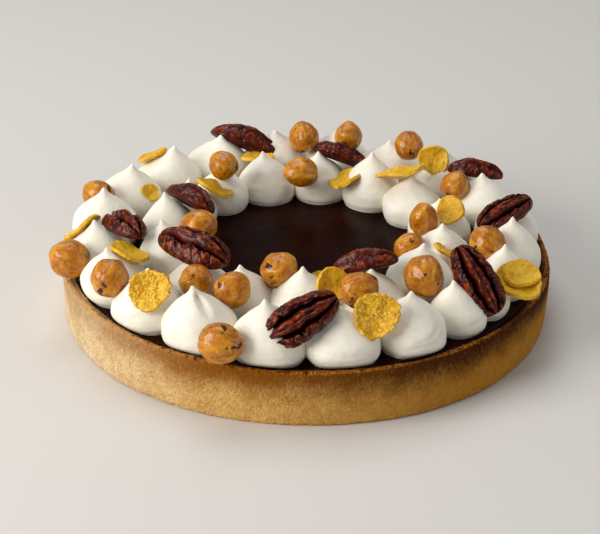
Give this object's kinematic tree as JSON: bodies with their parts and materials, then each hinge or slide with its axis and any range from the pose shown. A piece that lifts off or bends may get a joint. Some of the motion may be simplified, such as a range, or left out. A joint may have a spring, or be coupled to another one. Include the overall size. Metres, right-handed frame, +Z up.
{
  "type": "chocolate tart",
  "caption": "Round chocolate tart in a low baked crust, with rings of piped cream kisses, hazelnuts, pecan halves and corn flakes round a bare dark middle.",
  "frame": {"origin": "middle of the flat underside of the crust, on the tart's axis", "axes": "+Z up towards the cream, +X to the right and -Y to the front, as the picture shows the tart"},
  "size_m": [0.1814, 0.1823, 0.0455],
  "materials": {
    "crust": "baked shortcrust, sandy golden brown, browner and crumbly along the lip",
    "filling": "set dark chocolate, smooth and glossy",
    "cream": "piped cream, smooth, with a soft sheen",
    "hazelnut": "roasted and glazed, caramel amber with dark scraps of skin",
    "pecan": "roasted and glazed, dark red brown, ridged",
    "flake": "toasted golden yellow, blistered, slightly shiny"
  },
  "bodies": {
    "root": {"crust": "crust", "filling": "filling", "cream_outer_ring": "cream", "cream_inner_ring": "cream", "hazelnut_01": "hazelnut", "hazelnut_02": "hazelnut", "hazelnut_03": "hazelnut", "hazelnut_04": "hazelnut", "hazelnut_05": "hazelnut", "hazelnut_06": "hazelnut", "hazelnut_07": "hazelnut", "hazelnut_08": "hazelnut", "hazelnut_09": "hazelnut", "hazelnut_10": "hazelnut", "hazelnut_11": "hazelnut", "hazelnut_12": "hazelnut", "hazelnut_13": "hazelnut", "hazelnut_14": "hazelnut", "hazelnut_15": "hazelnut", "hazelnut_16": "hazelnut", "hazelnut_17": "hazelnut", "hazelnut_18": "hazelnut", "hazelnut_19": "hazelnut", "pecan_01": "pecan", "pecan_02": "pecan", "pecan_03": "pecan", "pecan_04": "pecan", "pecan_05": "pecan", "pecan_06": "pecan", "pecan_07": "pecan", "pecan_08": "pecan", "pecan_09": "pecan", "pecan_10": "pecan", "flake_01": "flake", "flake_02": "flake", "flake_03": "flake", "flake_04": "flake", "flake_05": "flake", "flake_06": "flake", "flake_07": "flake", "flake_08": "flake", "flake_09": "flake", "flake_10": "flake", "flake_11": "flake", "flake_12": "flake", "flake_13": "flake", "flake_14": "flake", "flake_15": "flake", "flake_16": "flake"}
  },
  "joints": []
}
